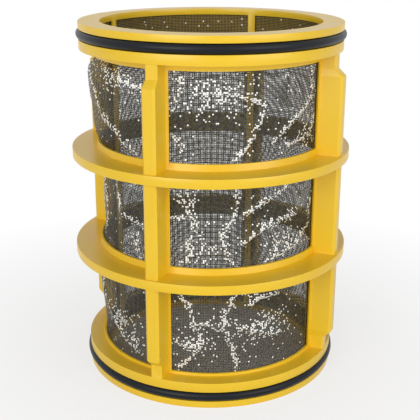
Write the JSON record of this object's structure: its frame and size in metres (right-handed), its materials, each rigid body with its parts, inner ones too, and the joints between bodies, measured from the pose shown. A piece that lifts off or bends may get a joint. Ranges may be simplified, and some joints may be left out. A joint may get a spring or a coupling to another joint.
{
  "type": "suction filter element",
  "caption": "Short tubular filter element: a moulded open cage with upright ribs, a woven wire sleeve inside it and an O-ring round each end.",
  "frame": {"origin": "centre of the lower end face, on the element's axis", "axes": "+Z along the element's axis, from the lower end face to the upper one; +X and +Y each pass through the middle of a column of windows, and the ribs stand on the diagonals"},
  "size_m": [0.0848, 0.0848, 0.1075],
  "materials": {
    "moulding": "glossy moulded polypropylene, strong warm yellow",
    "wire_cloth": "fine plain-woven stainless wire, dull grey",
    "seal_rubber": "black nitrile rubber, slight sheen"
  },
  "bodies": {
    "root": {"cage": "moulding", "mesh_sleeve": "wire_cloth", "upper_o_ring": "seal_rubber", "lower_o_ring": "seal_rubber"}
  },
  "joints": []
}
